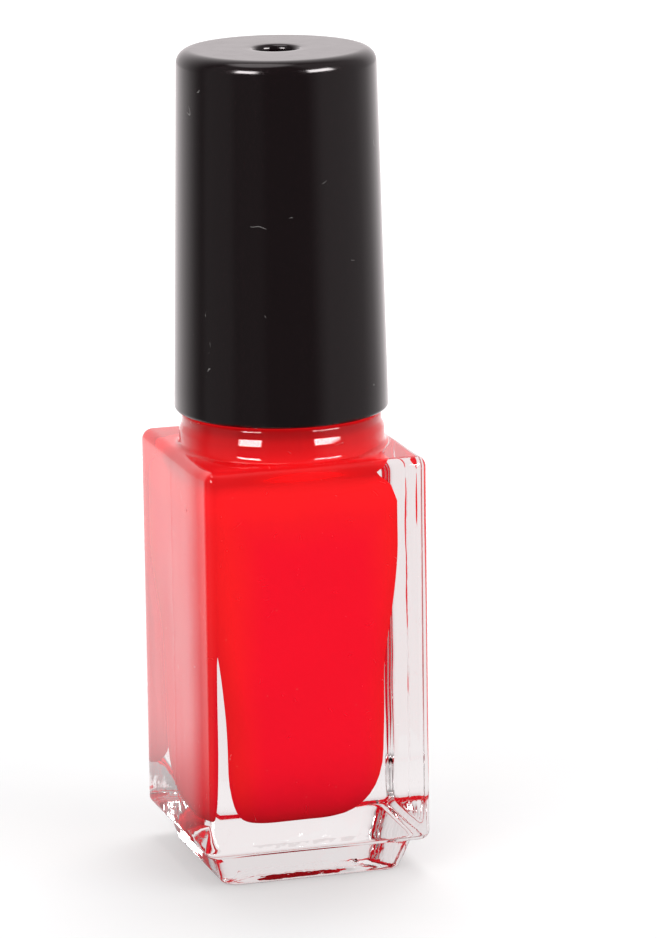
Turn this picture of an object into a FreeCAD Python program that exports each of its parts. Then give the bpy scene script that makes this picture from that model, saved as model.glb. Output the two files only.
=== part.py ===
import FreeCAD, Part
import os
import re

import Sketcher

# Square nail polish bottle with a screw cap and its brush, closed.
#
# Origin: centre of the glass foot's underside, +Z up along the axis of the neck, millimetres.
# The glass is a thick-walled square bottle with a round collar and a threaded neck. It holds lacquer
# and two steel mixing balls. The closure is a glossy outer cap pressed over a threaded inner cap,
# which carries the brush: a stem with a flange, a soft liner under the flange, and a tuft of
# bristles held in the stem's end by a folded metal staple.

DRIVING_SIZES = [
    ("body_width", 17.46, "glass body across its flat sides"),
    ("body_corner", 1.0, "radius of the body's upright corners"),
    ("shoulder_height", 32.0, "foot underside to the flat shoulder"),
    ("shoulder_round", 0.8, "round between sides and shoulder"),
    ("heel_height", 2.6, "foot underside to the underside of the body"),
    ("heel_round", 0.6, "round between sides and heel"),
    ("foot_top_width", 15.5, "foot where it meets the body"),
    ("foot_base_width", 13.8, "foot at the surface it stands on"),
    ("foot_corner", 1.2, "radius of the foot's upright corners"),
    ("foot_round", 0.4, "round at the foot's lower edge"),
    ("push_up_radius", 4.6, "recess in the underside"),
    ("push_up_flat", 3.4, "flat in the middle of that recess"),
    ("push_up_depth", 0.45, "depth of that recess"),
    ("side_wall", 1.75, "glass between side and cavity"),
    ("base_wall", 4.2, "foot underside to the cavity's floor"),
    ("shoulder_wall", 1.6, "glass between shoulder and cavity"),
    ("cavity_corner", 2.0, "radius of the cavity's upright corners"),
    ("cavity_floor_round", 3.0, "round at the cavity's floor"),
    ("cavity_top_round", 1.9, "round under the shoulder"),
    ("collar_height", 2.55, "round collar above the shoulder"),
    ("collar_inset", 0.5, "cap mouth overhangs the collar by this"),
    ("collar_round", 0.3, "round at the collar's upper edge"),
    ("collar_fillet", 0.5, "hollow round where collar meets shoulder"),
    ("collar_bore", 5.2, "radius inside the collar"),
    ("throat_drop", 0.5, "collar top down to where its bore narrows"),
    ("throat_taper", 2.0, "height over which it narrows to the mouth"),
    ("neck_radius", 5.75, "neck at the thread's root"),
    ("neck_height", 10.45, "collar top to the rim"),
    ("neck_bore", 4.0, "radius of the mouth"),
    ("rim_round", 0.5, "round at the rim"),
    ("thread_pitch", 2.117, "twelve threads to the inch"),
    ("thread_turns", 1.25, "length of each thread"),
    ("thread_depth", 0.65, "height of the neck's thread"),
    ("thread_crest", 0.55, "width of a thread's crest"),
    ("thread_slope", 0.35, "each flank leans out by this"),
    ("thread_bite", 0.2, "a thread's ridge is rooted this deep in its wall"),
    ("thread_start", 3.8, "collar top to the start of the neck's thread"),
    ("thread_clearance", 0.1, "gap between the two threads' crests and roots"),
    ("inner_wall", 0.55, "wall of the inner cap"),
    ("inner_top", 1.2, "top of the inner cap"),
    ("cap_fit", 0.03, "gap between inner and outer cap"),
    ("cap_wall", 0.92, "wall of the outer cap at its mouth"),
    ("cap_gap", 0.15, "collar top to the cap's mouth"),
    ("cap_length", 27.0, "outer cap from mouth to top"),
    ("cap_taper", 0.61, "top radius is smaller than the mouth by this"),
    ("cap_top_round", 1.05, "round at the cap's top edge"),
    ("cap_mouth_round", 0.35, "round at the cap's mouth"),
    ("cap_top_wall", 1.6, "top wall of the outer cap"),
    ("post_wall", 1.5, "wall of the post inside the outer cap"),
    ("dimple_radius", 1.55, "blind hole in the cap's top"),
    ("dimple_depth", 4.5, "depth of that hole"),
    ("dimple_lip", 0.4, "round at that hole's edge"),
    ("liner_thick", 0.8, "soft liner between rim and flange"),
    ("liner_inset", 0.15, "liner's edge to the inner cap's thread"),
    ("flange_thick", 1.0, "flange of the brush stem"),
    ("flange_radius", 4.8, "flange of the brush stem"),
    ("stem_radius", 1.6, "stem under the flange"),
    ("stem_tip_radius", 1.3, "stem at its lower end"),
    ("stem_gap", 0.1, "gap between stem and liner, and stem and inner cap"),
    ("head_height", 3.0, "stem head above the inner cap"),
    ("head_round", 0.4, "round at the stem head's edge"),
    ("socket_depth", 4.0, "hole in the stem's end for the tuft"),
    ("socket_wall", 0.4, "stem wall round that hole"),
    ("tuft_fit", 0.03, "gap between tuft and stem"),
    ("tuft_length", 10.8, "bristles below the stem"),
    ("tip_gap", 1.7, "cavity's floor to the tuft's tip"),
    ("tuft_belly", 1.5, "tuft at its widest"),
    ("tuft_tip", 0.7, "tuft at its tip"),
    ("staple_width", 1.5, "folded metal staple, along the fold"),
    ("staple_thick", 0.4, "staple across the fold"),
    ("staple_height", 2.2, "staple along the stem"),
    ("fill_above", 0.45, "lacquer's level above the throat's taper"),
    ("fill_gap", 0.04, "gap left between lacquer and what it wets"),
    ("ball_radius", 2.0, "steel mixing ball"),
    ("ball_gap", 0.15, "lacquer between the balls and the way of the brush"),
    ("brush_way", 0.35, "lacquer is parted round the brush by this"),
]

# Sizes that follow from the driving ones
NECK_BASE = "(shoulder_height + collar_height)"
RIM = f"({NECK_BASE} + neck_height)"
CAVITY_HALF = "(body_width / 2 - side_wall)"
CAVITY_TOP = "(shoulder_height - shoulder_wall)"
THREAD_RADIUS = "(neck_radius + thread_depth)"
THROAT_LOW = f"({NECK_BASE} - throat_drop)"
THROAT_HIGH = f"({THROAT_LOW} + throat_taper)"
FILL_LEVEL = f"({THROAT_HIGH} + fill_above)"
INNER_BORE = f"({THREAD_RADIUS} + thread_clearance)"
INNER_RADIUS = f"({INNER_BORE} + inner_wall)"
CAP_BORE = f"({INNER_RADIUS} + cap_fit)"
CAP_RADIUS = f"({CAP_BORE} + cap_wall)"
COLLAR_RADIUS = f"({CAP_RADIUS} - collar_inset)"
CAP_MOUTH = f"({NECK_BASE} + cap_gap)"
FLANGE_BOTTOM = f"({RIM} + liner_thick)"
INNER_CEILING = f"({FLANGE_BOTTOM} + flange_thick)"
INNER_TOP = f"({INNER_CEILING} + inner_top)"
HEAD_HOLE = "(stem_radius + stem_gap)"
POST_RADIUS = "(dimple_radius + post_wall)"
TUFT_TIP = "(base_wall + tip_gap)"
STEM_END = f"({TUFT_TIP} + tuft_length)"
SOCKET_RADIUS = "(stem_tip_radius - socket_wall)"
TUFT_RADIUS = f"({SOCKET_RADIUS} - tuft_fit)"
BRUSH_BORE = "(stem_radius + brush_way)"
BALL_REACH = f"({BRUSH_BORE} + ball_gap + ball_radius)"
# A cut starts this far outside the solid
PAST = "1"
# Directions from the axis to the two balls
BALLS = {"mixing_ball_1": (0.78, -0.63), "mixing_ball_2": (-0.72, 0.69)}
# Down the tuft: share of its length, and share of the way from the socket's width to its belly
TUFT_OUTLINE = [(0.02, 0), (0.3, 0.6), (0.65, 1)]
# Where the tuft starts to close to its tip, as a share of its length
TUFT_CLOSING = 0.88

doc = FreeCAD.newDocument("NailPolishBottle")
sheet = doc.addObject("Spreadsheet::Sheet", "Sizes")
for row, (alias, value, meaning) in enumerate(DRIVING_SIZES, start=1):
    sheet.set(f"A{row}", meaning)
    sheet.set(f"B{row}", str(value))
    sheet.setAlias(f"B{row}", alias)
doc.recompute()


def bound(formula):
    """The formula as an expression on the sheet: every word in it is one of the sheet's names."""
    return re.sub(r"[a-z]\w+", lambda word: "Sizes." + word.group(), formula)


def number(formula):
    """The formula's present value."""
    return float(sheet.evalExpression(bound(formula)))


def new_body(name):
    body = doc.addObject("PartDesign::Body", name)
    body.Label = name
    return body


def new_sketch(body, name, role, height="0"):
    """A sketch on one of the body's own origin planes, raised by height along the plane's normal."""
    sketch = body.newObject("Sketcher::SketchObject", name)
    plane = next(f for f in body.Origin.OriginFeatures if f.Role == role)
    sketch.AttachmentSupport = [(plane, "")]
    sketch.MapMode = "FlatFace"
    if height != "0":
        sketch.setExpression("AttachmentOffset.Base.z", bound(height))
    return sketch


def hold(sketch, kind, geometry, point, formula):
    """Fix a point's distance from the sketch's origin along X or Y to a formula of the sheet."""
    index = sketch.addConstraint(Sketcher.Constraint(kind, -1, 1, geometry, point, number(formula)))
    sketch.setExpression(f"Constraints[{index}]", bound(formula))


def outline(body, name, points, role="XZ_Plane"):
    """A closed outline of straight lines through points, each given by two formulas."""
    sketch = new_sketch(body, name, role)
    places = [FreeCAD.Vector(number(x), number(y), 0) for x, y in points]
    count = len(places)
    for i in range(count):
        sketch.addGeometry(Part.LineSegment(places[i], places[(i + 1) % count]))
    for i in range(count):
        sketch.addConstraint(Sketcher.Constraint("Coincident", i, 2, (i + 1) % count, 1))
    for i, (x, y) in enumerate(points):
        hold(sketch, "DistanceX", i, 1, x)
        hold(sketch, "DistanceY", i, 1, y)
    return sketch


def rounded_square(body, name, half, corner, height):
    """A square about the axis with rounded corners, at a height on the XY plane."""
    sketch = new_sketch(body, name, "XY_Plane", height)
    side, radius = number(half), number(corner)
    straight = side - radius
    turns = [FreeCAD.Rotation(FreeCAD.Vector(0, 0, 1), 90 * i) for i in range(4)]
    for turn in turns:
        start = turn.multVec(FreeCAD.Vector(side, -straight, 0))
        end = turn.multVec(FreeCAD.Vector(side, straight, 0))
        sketch.addGeometry(Part.LineSegment(start, end))
    for turn in turns:
        start = turn.multVec(FreeCAD.Vector(side, straight, 0))
        middle = turn.multVec(FreeCAD.Vector(straight + radius * 0.5 ** 0.5, straight + radius * 0.5 ** 0.5, 0))
        end = turn.multVec(FreeCAD.Vector(straight, side, 0))
        sketch.addGeometry(Part.Arc(start, middle, end))
    for i in range(4):
        sketch.addConstraint(Sketcher.Constraint("Tangent", i, 2, 4 + i, 1))
        sketch.addConstraint(Sketcher.Constraint("Tangent", 4 + i, 2, (i + 1) % 4, 1))
        if i:
            sketch.addConstraint(Sketcher.Constraint("Equal", 4, 4 + i))
    for i in (0, 2):
        sketch.addConstraint(Sketcher.Constraint("Vertical", i))
        sketch.addConstraint(Sketcher.Constraint("Horizontal", i + 1))
    hold(sketch, "DistanceX", 0, 1, half)
    hold(sketch, "DistanceY", 1, 1, half)
    hold(sketch, "DistanceX", 2, 1, f"(0 - {half})")
    hold(sketch, "DistanceY", 3, 1, f"(0 - {half})")
    index = sketch.addConstraint(Sketcher.Constraint("Radius", 4, radius))
    sketch.setExpression(f"Constraints[{index}]", bound(corner))
    return sketch


def turned(body, kind, name, sketch):
    """A full turn of the sketch about the body's upright axis."""
    feature = body.newObject(f"PartDesign::{kind}", name)
    feature.Profile = sketch
    feature.ReferenceAxis = (sketch, ["V_Axis"])
    feature.Angle = 360
    doc.recompute()
    return feature


def lengthened(body, kind, name, sketch, length, reverse=False):
    feature = body.newObject(f"PartDesign::{kind}", name)
    feature.Profile = sketch
    feature.setExpression("Length", bound(length))
    feature.Reversed = reverse
    doc.recompute()
    return feature


def rounded(body, name, radius, chosen):
    """Round the edges of the body's tip that chosen(edge) picks."""
    tip = body.Tip
    names = [f"Edge{i}" for i, edge in enumerate(tip.Shape.Edges, start=1) if chosen(edge)]
    feature = body.newObject("PartDesign::Fillet", name)
    feature.Base = (tip, names)
    feature.setExpression("Radius", bound(radius))
    doc.recompute()
    return feature


def level(edge, height):
    """True for an edge that lies wholly at a height."""
    box = edge.BoundBox
    return abs(box.ZMin - height) < 1e-4 and abs(box.ZMax - height) < 1e-4


def ring(height, radius):
    """A test that picks round edges about the axis, of one radius at one height."""
    z, r = number(height), number(radius)

    def chosen(edge):
        return level(edge, z) and isinstance(edge.Curve, Part.Circle) and abs(edge.Curve.Radius - r) < 1e-3

    return chosen


def flat_loop(height, within="1000"):
    """A test that picks the edges at a height whose distance from the axis stays under within."""
    z, reach = number(height), number(within)

    def chosen(edge):
        box = edge.BoundBox
        return level(edge, z) and max(abs(box.XMin), abs(box.XMax), abs(box.YMin), abs(box.YMax)) < reach

    return chosen


def helix(body, name, wall, outward, middle):
    """A thread ridge on a round wall. Its section is centred at the height middle."""
    root = f"({wall} - {outward} * thread_bite)"
    crest = f"({wall} + {outward} * thread_depth)"
    half_crest = "(thread_crest / 2)"
    half_root = f"({half_crest} + thread_slope * (1 + thread_bite / thread_depth))"
    points = [
        (root, f"({middle} - {half_root})"),
        (crest, f"({middle} - {half_crest})"),
        (crest, f"({middle} + {half_crest})"),
        (root, f"({middle} + {half_root})"),
    ]
    section = outline(body, f"{name}_section", points)
    feature = body.newObject("PartDesign::AdditiveHelix", name)
    feature.Profile = section
    feature.ReferenceAxis = (section, ["V_Axis"])
    feature.Mode = "pitch-turns-angle"
    feature.setExpression("Pitch", bound("thread_pitch"))
    feature.setExpression("Turns", bound("thread_turns"))
    doc.recompute()
    return feature


def make_bottle():
    body = new_body("glass_bottle")
    half = "(body_width / 2)"
    block = rounded_square(body, "body_section", half, "body_corner", "heel_height")
    lengthened(body, "Pad", "body_block", block, "shoulder_height - heel_height")
    rounded(body, "shoulder_edge", "shoulder_round", flat_loop("shoulder_height"))
    rounded(body, "heel_edge", "heel_round", flat_loop("heel_height"))
    foot = body.newObject("PartDesign::AdditiveLoft", "foot")
    foot.Profile = rounded_square(body, "foot_base", "(foot_base_width / 2)", "foot_corner", "0")
    foot.Sections = [rounded_square(body, "foot_top", "(foot_top_width / 2)", "foot_corner", "heel_height")]
    doc.recompute()
    rounded(body, "foot_edge", "foot_round", flat_loop("0"))
    finish = [
        ("0", CAVITY_TOP),
        (COLLAR_RADIUS, CAVITY_TOP),
        (COLLAR_RADIUS, NECK_BASE),
        ("neck_radius", NECK_BASE),
        ("neck_radius", RIM),
        ("0", RIM),
    ]
    turned(body, "Revolution", "finish", outline(body, "finish_section", finish))
    rounded(body, "collar_edge", "collar_round", ring(NECK_BASE, COLLAR_RADIUS))
    rounded(body, "collar_base", "collar_fillet", ring("shoulder_height", COLLAR_RADIUS))
    rounded(body, "rim_edge", "rim_round", ring(RIM, "neck_radius"))
    helix(body, "thread", "neck_radius", 1, f"({NECK_BASE} + thread_start)")
    cavity = rounded_square(body, "cavity_section", CAVITY_HALF, "cavity_corner", "base_wall")
    lengthened(body, "Pocket", "cavity", cavity, f"{CAVITY_TOP} - base_wall", reverse=True)
    inside = f"({CAVITY_HALF} + 0.01)"
    rounded(body, "cavity_floor", "cavity_floor_round", flat_loop("base_wall", inside))
    rounded(body, "cavity_ceiling", "cavity_top_round", flat_loop(CAVITY_TOP, inside))
    mouth = [
        ("0", f"({CAVITY_TOP} - {PAST})"),
        ("collar_bore", f"({CAVITY_TOP} - {PAST})"),
        ("collar_bore", THROAT_LOW),
        ("neck_bore", THROAT_HIGH),
        ("neck_bore", f"({RIM} + {PAST})"),
        ("0", f"({RIM} + {PAST})"),
    ]
    turned(body, "Groove", "mouth", outline(body, "mouth_section", mouth))
    recess = [
        ("0", f"(0 - {PAST})"),
        ("push_up_radius", f"(0 - {PAST})"),
        ("push_up_radius", "0"),
        ("push_up_flat", "push_up_depth"),
        ("0", "push_up_depth"),
    ]
    turned(body, "Groove", "push_up", outline(body, "push_up_section", recess))
    return body


def make_lacquer():
    """The lacquer fills the cavity up into the neck, parted round the brush and the balls."""
    body = new_body("lacquer_fill")
    half = f"({CAVITY_HALF} - fill_gap)"
    floor = "(base_wall + fill_gap)"
    ceiling = f"({CAVITY_TOP} - fill_gap)"
    block = rounded_square(body, "fill_section", half, "(cavity_corner - fill_gap)", floor)
    lengthened(body, "Pad", "fill_block", block, f"{ceiling} - {floor}")
    rounded(body, "fill_floor", "(cavity_floor_round - fill_gap)", flat_loop(floor))
    rounded(body, "fill_ceiling", "(cavity_top_round - fill_gap)", flat_loop(ceiling))
    column = [
        ("0", f"({CAVITY_TOP} - {PAST})"),
        ("(collar_bore - fill_gap)", f"({CAVITY_TOP} - {PAST})"),
        ("(collar_bore - fill_gap)", THROAT_LOW),
        ("(neck_bore - fill_gap)", THROAT_HIGH),
        ("(neck_bore - fill_gap)", FILL_LEVEL),
        ("0", FILL_LEVEL),
    ]
    turned(body, "Revolution", "column", outline(body, "column_section", column))
    way_bottom = f"({TUFT_TIP} - brush_way)"
    way = [
        ("0", way_bottom),
        (BRUSH_BORE, way_bottom),
        (BRUSH_BORE, f"({FILL_LEVEL} + {PAST})"),
        ("0", f"({FILL_LEVEL} + {PAST})"),
    ]
    turned(body, "Groove", "brush_way", outline(body, "way_section", way))
    fill = body
    for name in BALLS:
        pocket = make_ball(f"{name}_pocket", name, "(ball_radius + fill_gap)")
        cut = doc.addObject("Part::Cut", f"lacquer_less_{name}")
        cut.Base = fill
        cut.Tool = pocket
        fill = cut
    fill.Label = "lacquer"
    doc.recompute()
    return fill


def make_ball(label, place, radius="ball_radius"):
    """A ball that rests on the cavity's floor, clear of the brush."""
    ball = doc.addObject("Part::Sphere", label)
    ball.Label = label
    ball.setExpression("Radius", bound(radius))
    x, y = BALLS[place]
    ball.setExpression("Placement.Base.x", bound(f"{x} * {BALL_REACH}"))
    ball.setExpression("Placement.Base.y", bound(f"{y} * {BALL_REACH}"))
    ball.setExpression("Placement.Base.z", bound("base_wall + ball_radius + fill_gap"))
    doc.recompute()
    return ball


def raised(body, height):
    """Stand the body at a height."""
    body.setExpression("Placement.Base.z", bound(height))
    doc.recompute()
    return body


def make_liner():
    body = new_body("sealing_liner")
    outer = f"({INNER_BORE} - thread_depth - liner_inset)"
    ring_points = [
        (HEAD_HOLE, "0"),
        (outer, "0"),
        (outer, "liner_thick"),
        (HEAD_HOLE, "liner_thick"),
    ]
    turned(body, "Revolution", "washer", outline(body, "washer_section", ring_points))
    return raised(body, RIM)


def make_stem():
    """The stem's own zero is the flange's underside."""
    body = new_body("brush_stem")
    end = f"({STEM_END} - {FLANGE_BOTTOM})"
    head_top = "(flange_thick + inner_top + head_height)"
    points = [
        ("0", f"({end} + socket_depth)"),
        (SOCKET_RADIUS, f"({end} + socket_depth)"),
        (SOCKET_RADIUS, end),
        ("stem_tip_radius", end),
        ("stem_radius", "0"),
        ("flange_radius", "0"),
        ("flange_radius", "flange_thick"),
        ("stem_radius", "flange_thick"),
        ("stem_radius", head_top),
        ("0", head_top),
    ]
    turned(body, "Revolution", "stem", outline(body, "stem_section", points))
    rounded(body, "head_edge", "head_round", ring(head_top, "stem_radius"))
    return raised(body, FLANGE_BOTTOM)


def make_tuft():
    """The tuft's own zero is the stem's lower end. A slot in its top takes the staple."""
    body = new_body("bristle_tuft")
    top = "(socket_depth - tuft_fit)"
    points = [("0", top), (TUFT_RADIUS, top)]
    for down, share in TUFT_OUTLINE:
        radius = f"({TUFT_RADIUS} + {share} * (tuft_belly - {TUFT_RADIUS}))"
        points.append((radius, f"(0 - {down} * tuft_length)"))
    points.append(("(tuft_tip / 2 + tuft_belly / 2)", f"(0 - {TUFT_CLOSING} * tuft_length)"))
    points += [("tuft_tip", "(0 - tuft_length)"), ("0", "(0 - tuft_length)")]
    turned(body, "Revolution", "tuft", outline(body, "tuft_section", points))
    slot = new_sketch(body, "slot_section", "XY_Plane", top)
    half_x = "(staple_width / 2 + tuft_fit)"
    half_y = "(staple_thick / 2 + tuft_fit)"
    corners = [(1, 1), (-1, 1), (-1, -1), (1, -1)]
    places = [FreeCAD.Vector(a * number(half_x), b * number(half_y), 0) for a, b in corners]
    for i in range(4):
        slot.addGeometry(Part.LineSegment(places[i], places[(i + 1) % 4]))
    for i in range(4):
        slot.addConstraint(Sketcher.Constraint("Coincident", i, 2, (i + 1) % 4, 1))
    for i, (a, b) in enumerate(corners):
        hold(slot, "DistanceX", i, 1, half_x if a > 0 else f"(0 - {half_x})")
        hold(slot, "DistanceY", i, 1, half_y if b > 0 else f"(0 - {half_y})")
    lengthened(body, "Pocket", "slot", slot, "staple_height + tuft_fit")
    return raised(body, STEM_END)


def make_staple():
    staple = doc.addObject("Part::Box", "brush_staple")
    staple.Label = "brush_staple"
    staple.setExpression("Length", bound("staple_width"))
    staple.setExpression("Width", bound("staple_thick"))
    staple.setExpression("Height", bound("staple_height"))
    staple.setExpression("Placement.Base.x", bound("0 - staple_width / 2"))
    staple.setExpression("Placement.Base.y", bound("0 - staple_thick / 2"))
    staple.setExpression("Placement.Base.z", bound(f"{STEM_END} + socket_depth - tuft_fit - staple_height"))
    doc.recompute()
    return staple


def make_inner_cap():
    """The inner cap's own zero is the mouth of the outer cap."""
    body = new_body("inner_cap")
    mouth = "cap_gap"
    ceiling = f"({INNER_CEILING} - {CAP_MOUTH})"
    top = f"({INNER_TOP} - {CAP_MOUTH})"
    points = [
        (INNER_BORE, mouth),
        (INNER_RADIUS, mouth),
        (INNER_RADIUS, top),
        (HEAD_HOLE, top),
        (HEAD_HOLE, ceiling),
        (INNER_BORE, ceiling),
    ]
    turned(body, "Revolution", "sleeve", outline(body, "sleeve_section", points))
    # The ridge runs half a pitch under the neck's, so that each fills the other's groove
    middle = f"({NECK_BASE} + thread_start - thread_pitch / 2 - {CAP_MOUTH})"
    helix(body, "thread", INNER_BORE, -1, middle)
    return raised(body, CAP_MOUTH)


def make_outer_cap():
    """The outer cap's own zero is its mouth. A hollow post inside the top bears on the inner cap."""
    body = new_body("outer_cap")
    step = f"({INNER_TOP} - {CAP_MOUTH} + cap_fit)"
    hollow = f"({CAP_BORE} - cap_taper)"
    ceiling = "(cap_length - cap_top_wall)"
    head_room = f"({step} + head_height + cap_fit)"
    points = [
        (CAP_BORE, "0"),
        (CAP_RADIUS, "0"),
        (f"({CAP_RADIUS} - cap_taper)", "cap_length"),
        ("dimple_radius", "cap_length"),
        ("dimple_radius", "(cap_length - dimple_depth)"),
        ("0", "(cap_length - dimple_depth)"),
        ("0", head_room),
        (HEAD_HOLE, head_room),
        (HEAD_HOLE, step),
        (POST_RADIUS, step),
        (POST_RADIUS, ceiling),
        (hollow, ceiling),
        (hollow, step),
        (CAP_BORE, step),
    ]
    turned(body, "Revolution", "shell", outline(body, "shell_section", points))
    rounded(body, "top_edge", "cap_top_round", ring("cap_length", f"({CAP_RADIUS} - cap_taper)"))
    rounded(body, "mouth_edge", "cap_mouth_round", ring("0", CAP_RADIUS))
    rounded(body, "dimple_edge", "dimple_lip", ring("cap_length", "dimple_radius"))
    return raised(body, CAP_MOUTH)


parts = [
    make_bottle(),
    make_lacquer(),
    make_ball("mixing_ball_1", "mixing_ball_1"),
    make_ball("mixing_ball_2", "mixing_ball_2"),
    make_liner(),
    make_stem(),
    make_staple(),
    make_tuft(),
    make_inner_cap(),
    make_outer_cap(),
]

doc.recompute()
for item in doc.Objects:
    if {"Invalid", "Error"} & set(item.State):
        raise RuntimeError(f"{item.Label} failed: {item.State}")
for part in parts:
    if part.Shape.isNull() or not part.Shape.isValid() or len(part.Shape.Solids) != 1:
        raise RuntimeError(f"{part.Label} isn't one valid solid")

os.makedirs("parts", exist_ok=True)
for part in parts:
    part.Shape.exportStep(f"parts/{part.Label}.step")
    print(f"{part.Label}: {part.Shape.Volume:.1f} mm3")
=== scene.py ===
import math
import random

import bmesh
import bpy
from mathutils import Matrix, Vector


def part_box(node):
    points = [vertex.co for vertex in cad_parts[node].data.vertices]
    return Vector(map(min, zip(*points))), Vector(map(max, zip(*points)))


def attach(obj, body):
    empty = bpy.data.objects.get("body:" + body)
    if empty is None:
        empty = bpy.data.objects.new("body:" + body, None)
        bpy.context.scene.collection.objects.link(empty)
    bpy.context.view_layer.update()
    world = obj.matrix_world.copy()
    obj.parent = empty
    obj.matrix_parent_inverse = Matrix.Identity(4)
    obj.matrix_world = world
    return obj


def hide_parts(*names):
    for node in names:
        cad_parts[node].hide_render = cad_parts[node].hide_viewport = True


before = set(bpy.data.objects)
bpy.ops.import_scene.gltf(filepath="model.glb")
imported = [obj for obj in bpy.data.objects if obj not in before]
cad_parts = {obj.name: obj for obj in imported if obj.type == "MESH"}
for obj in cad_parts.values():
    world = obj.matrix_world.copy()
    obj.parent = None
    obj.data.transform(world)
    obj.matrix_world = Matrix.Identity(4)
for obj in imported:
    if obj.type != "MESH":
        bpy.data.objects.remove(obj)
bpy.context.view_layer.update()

# Lengths are written in millimetres and meshes are scaled to metres as they are made.
MM = 0.001
TURN = 2 * math.pi


def span(node):
    """A CAD node's lowest and highest corners at rest, in millimetres."""
    low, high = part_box(node)
    return low / MM, high / MM


GLASS_HIGH = span("glass_bottle")[1]
CAP_LOW, CAP_HIGH = span("outer_cap")
INNER_HIGH = span("inner_cap")[1]
LACQUER_HIGH = span("lacquer")[1]
TUFT_LOW, TUFT_HIGH = span("bristle_tuft")
STEM_LOW, STEM_HIGH = span("brush_stem")

HALF = GLASS_HIGH.x
RIM = GLASS_HIGH.z
CAP_RADIUS = CAP_HIGH.x

# The picture's camera stands this far round from the front side, and the light follows it
HEADING = math.radians(-16.27)
AWAY = Vector((-math.sin(HEADING), math.cos(HEADING), 0))
RIGHT = Vector((math.cos(HEADING), math.sin(HEADING), 0))


# ---------------------------------------------------------------- mesh making

ARC_STEPS = 10
SIDE_STEPS = 26
# more points beside the middle of each side, where the mould's seam runs
SEAM_REACH = 0.3
SEAM_POINTS = (-SEAM_REACH, -0.18, -0.09, 0.09, 0.18, SEAM_REACH)


def lerp(a, b, t):
    return a + (b - a) * t


def smooth(t):
    t = min(max(t, 0), 1)
    return t * t * (3 - 2 * t)


def box_ring(left, right, front, back, corner, z):
    """A rounded box seen from above. Rings of this kind all have their points at matching places."""
    cx, cy = (right - left) / 2, (back - front) / 2
    hx, hy = (right + left) / 2, (back + front) / 2
    ring = []
    for quarter in range(4):
        c, s = ((1, 0), (0, 1), (-1, 0), (0, -1))[quarter]
        out, along = (hx, hy) if quarter % 2 == 0 else (hy, hx)
        out_core, core = out - corner, along - corner
        lean = math.atan2(core, out)
        side = [(out, -core)]
        for step in range(1, SIDE_STEPS):
            share = -1 + 2 * step / SIDE_STEPS
            side.append((out, out * math.tan(lean * share)))
        side += [(out, along_side) for along_side in SEAM_POINTS]
        side.sort(key=lambda point: point[1])
        for step in range(ARC_STEPS):
            turn = math.pi / 2 * step / ARC_STEPS
            side.append((out_core + corner * math.cos(turn), core + corner * math.sin(turn)))
        ring += [(cx + x * c - y * s, cy + x * s + y * c, z) for x, y in side]
    return ring


def square_ring(half, corner, z):
    return box_ring(half, half, half, half, corner, z)


def round_ring(radius, z, like):
    """A circle whose points lie in the same directions as those of the ring it is like."""
    ring = []
    for x, y, _ in like:
        reach = math.hypot(x, y)
        ring.append((x / reach * radius, y / reach * radius, z))
    return ring


def even_ring(radius, z, count):
    turns = [TURN * i / count for i in range(count)]
    return [(radius * math.cos(turn), radius * math.sin(turn), z) for turn in turns]


def tip_of(ring, out):
    """A point beyond the middle of a small level ring."""
    count = len(ring)
    return sum(x for x, _, _ in ring) / count, sum(y for _, y, _ in ring) / count, ring[0][2] + out


def fillet(start, end, steps=6):
    """Points on a quarter ellipse from start to end, (across, up), leaving start straight up or down."""
    points = []
    for step in range(steps + 1):
        turn = math.pi / 2 * step / steps
        points.append((lerp(end[0], start[0], math.cos(turn)), lerp(start[1], end[1], math.sin(turn))))
    return points


def mesh_object(name, bm, crease=38):
    """The finished piece, in metres, smooth but for edges sharper than crease degrees."""
    bmesh.ops.recalc_face_normals(bm, faces=bm.faces)
    bmesh.ops.scale(bm, vec=(MM, MM, MM), verts=bm.verts)
    mesh = bpy.data.meshes.new(name)
    bm.to_mesh(mesh)
    bm.free()
    mesh.shade_smooth()
    mesh.set_sharp_from_angle(angle=math.radians(crease))
    piece = bpy.data.objects.new(name, mesh)
    bpy.context.scene.collection.objects.link(piece)
    weighted = piece.modifiers.new("flat faces stay flat", "WEIGHTED_NORMAL")
    weighted.keep_sharp = True
    return piece


def skin(bm, rings, first_tip, last_tip):
    """Joins rings of equal count, and closes each end with a fan to its tip."""
    rows = [[bm.verts.new(point) for point in ring] for ring in rings]
    count = len(rows[0])
    for low, high in zip(rows, rows[1:]):
        for i in range(count):
            j = (i + 1) % count
            bm.faces.new((low[i], low[j], high[j], high[i]))
    for row, tip in ((rows[0], first_tip), (rows[-1], last_tip)):
        end = bm.verts.new(tip)
        for i in range(count):
            bm.faces.new((row[i], row[(i + 1) % count], end))


def turned(name, profile, count, crease):
    """A closed piece turned about +Z: profile is (radius, z) from axis to axis."""
    bm = bmesh.new()
    rings = [even_ring(radius, z, count) for radius, z in profile[1:-1]]
    skin(bm, rings, (0, 0, profile[0][1]), (0, 0, profile[-1][1]))
    return mesh_object(name, bm, crease)


def dress(piece, body, node):
    """Parents the piece to its body's empty, so that it moves with that body, and hides the CAD node that it is
    shown in place of.
    """
    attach(piece, body)
    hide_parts(node)


# ------------------------------------------------------------ node materials


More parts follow.
